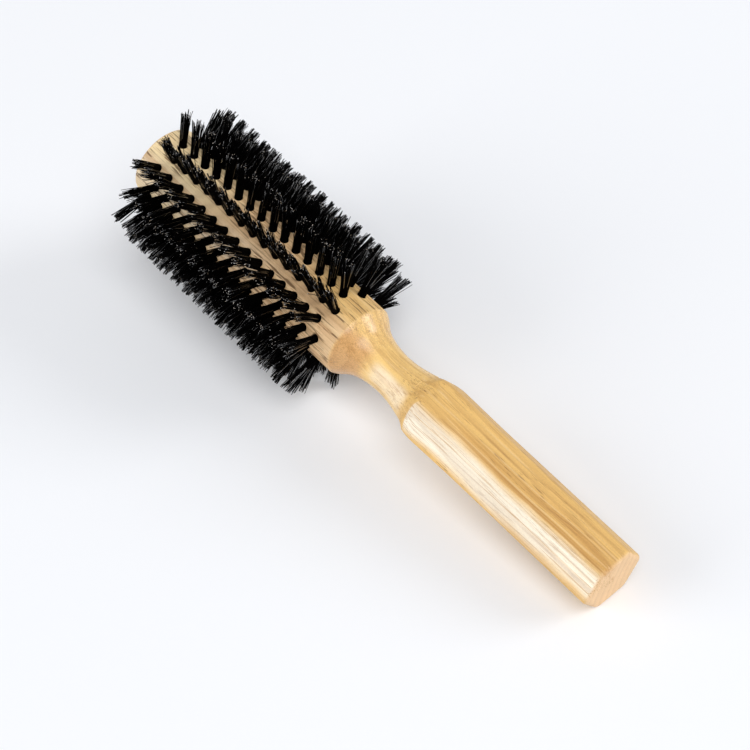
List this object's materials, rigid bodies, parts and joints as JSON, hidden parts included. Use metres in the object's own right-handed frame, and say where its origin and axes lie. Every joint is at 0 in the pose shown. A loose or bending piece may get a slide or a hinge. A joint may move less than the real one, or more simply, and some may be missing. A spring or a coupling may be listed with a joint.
{
  "type": "round barrel brush",
  "caption": "Round hair brush: turned wooden barrel with rows of stiff black bristle tufts standing all round it, slim waisted neck and straight six-sided wooden handle.",
  "frame": {"origin": "centre of the flat butt end of the handle, on the brush's axis", "axes": "+X along the axis from the butt to the barrel's far end; +Z square to one of the handle's six flats; +Y completes a right-handed frame and points at a corner of the handle"},
  "size_m": [0.236, 0.06, 0.0596],
  "materials": {
    "lacquered_wood": "blond open-pored wood under a satin clear lacquer",
    "black_bristle": "glossy black stiff filament",
    "black_bristle_ends": "glossy black stiff filament"
  },
  "bodies": {
    "root": {"wooden_body": "lacquered_wood", "bristle_row_01": "black_bristle", "bristle_row_02": "black_bristle", "bristle_row_03": "black_bristle", "bristle_row_04": "black_bristle", "bristle_row_05": "black_bristle", "bristle_row_06": "black_bristle", "bristle_row_07": "black_bristle", "bristle_row_08": "black_bristle", "bristle_row_09": "black_bristle", "bristle_row_10": "black_bristle", "bristle_row_11": "black_bristle", "bristle_row_12": "black_bristle", "bristle_row_13": "black_bristle", "bristle_row_14": "black_bristle", "handle_end_tuft_01": "black_bristle_ends", "handle_end_tuft_02": "black_bristle_ends", "handle_end_tuft_03": "black_bristle_ends", "handle_end_tuft_04": "black_bristle_ends", "handle_end_tuft_05": "black_bristle_ends", "handle_end_tuft_06": "black_bristle_ends", "handle_end_tuft_07": "black_bristle_ends", "handle_end_tuft_08": "black_bristle_ends", "handle_end_tuft_09": "black_bristle_ends", "handle_end_tuft_10": "black_bristle_ends", "handle_end_tuft_11": "black_bristle_ends", "handle_end_tuft_12": "black_bristle_ends", "handle_end_tuft_13": "black_bristle_ends", "handle_end_tuft_14": "black_bristle_ends", "far_end_tuft_01": "black_bristle_ends", "far_end_tuft_02": "black_bristle_ends", "far_end_tuft_03": "black_bristle_ends", "far_end_tuft_04": "black_bristle_ends", "far_end_tuft_05": "black_bristle_ends", "far_end_tuft_06": "black_bristle_ends", "far_end_tuft_07": "black_bristle_ends", "far_end_tuft_08": "black_bristle_ends", "far_end_tuft_09": "black_bristle_ends", "far_end_tuft_10": "black_bristle_ends", "far_end_tuft_11": "black_bristle_ends", "far_end_tuft_12": "black_bristle_ends", "far_end_tuft_13": "black_bristle_ends", "far_end_tuft_14": "black_bristle_ends"}
  },
  "joints": []
}
